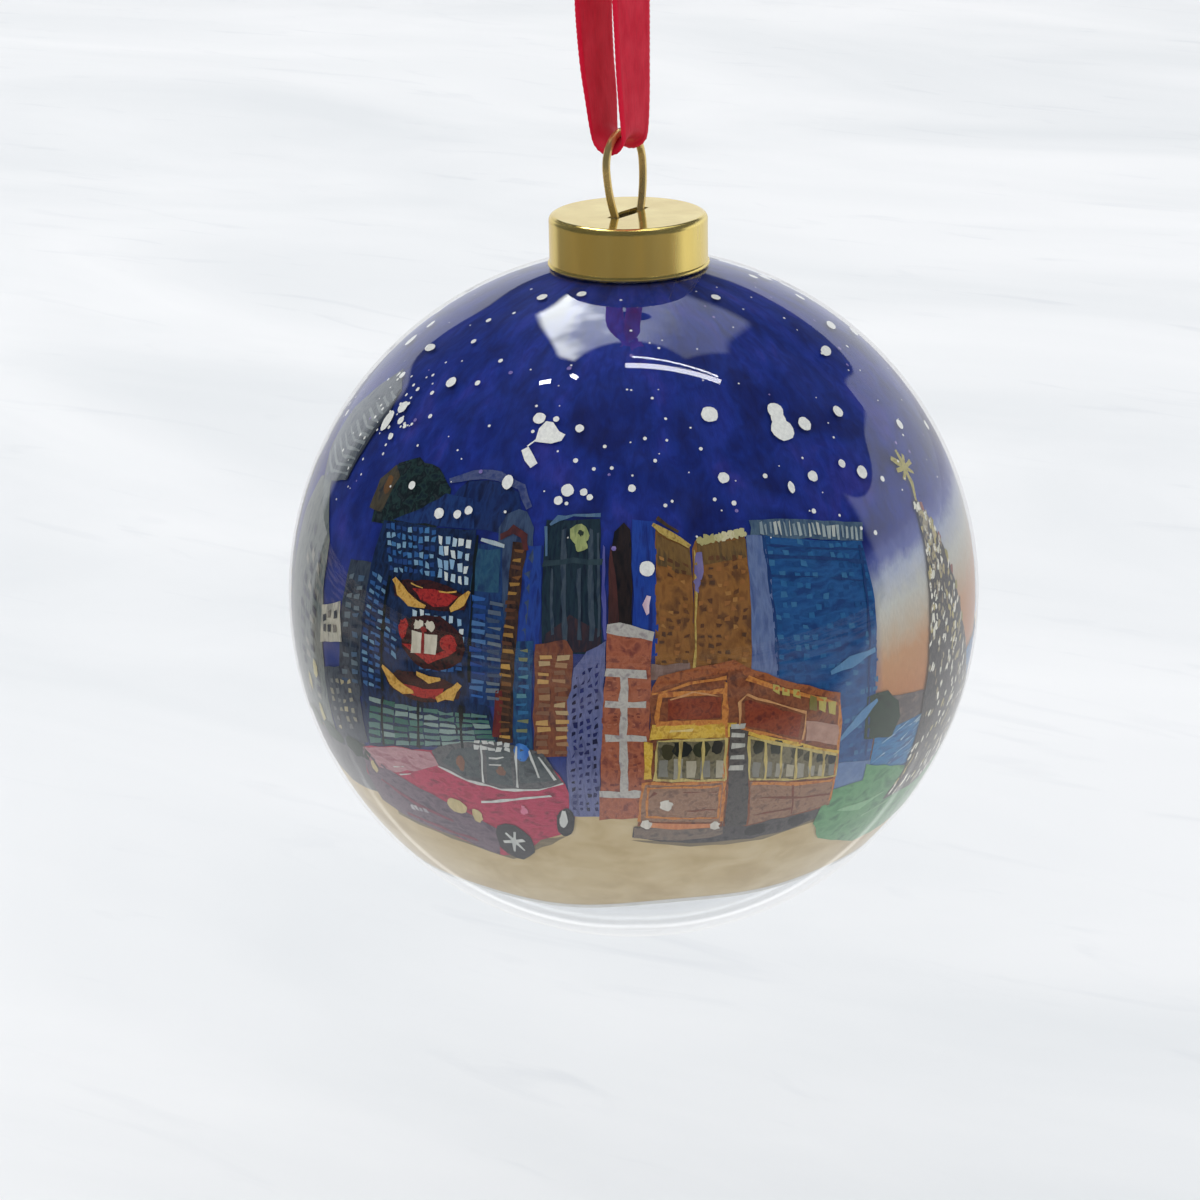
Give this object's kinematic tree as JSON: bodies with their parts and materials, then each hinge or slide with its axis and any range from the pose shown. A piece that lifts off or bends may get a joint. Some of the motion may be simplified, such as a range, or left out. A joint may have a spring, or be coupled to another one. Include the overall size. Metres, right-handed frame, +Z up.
{
  "type": "hanging glass bauble",
  "caption": "Round glass hanging ornament, painted inside with a night skyline, with a pressed metal cap, a sprung wire hanger and a ribbon loop.",
  "frame": {"origin": "top of the inside of the ribbon loop, just under its knot, where a hook or twig carries the ornament", "axes": "+Z up; the wire loop lies close to the YZ plane and the ribbon runs through it along X; the painted main view faces azimuth 32 degrees"},
  "size_m": [0.08, 0.08, 0.1449],
  "materials": {
    "glass": "gloss",
    "sky_paint": "satin",
    "skyline_paint": "satin",
    "street_paint": "satin",
    "cap_metal": "brushed",
    "wire_metal": "gloss",
    "ribbon_satin": "satin"
  },
  "bodies": {
    "ribbon_loop": {"ribbon": "ribbon_satin", "ribbon_knot": "ribbon_satin"},
    "hanger": {"wire_hanger": "wire_metal"},
    "cap": {"metal_cap": "cap_metal"},
    "ball": {"glass_ball": "glass", "sky_paint": "sky_paint", "skyline_paint": "skyline_paint", "street_paint": "street_paint"}
  },
  "joints": [
    {"name": "hanger_swing", "type": "hinge", "parent": "ribbon_loop", "child": "hanger", "pos_m": [-0.00064, 0, -0.03582], "axis": [0, 1, 0], "range_deg": [-40, 40]},
    {"name": "cap_rock", "type": "hinge", "parent": "hanger", "child": "cap", "pos_m": [0, 0, -0.045], "axis": [0, 1, 0], "range_deg": [-9, 1]},
    {"name": "ball_release", "type": "slide", "parent": "cap", "child": "ball", "axis": [0, 0, -1], "range_m": [0, 0.015]}
  ]
}
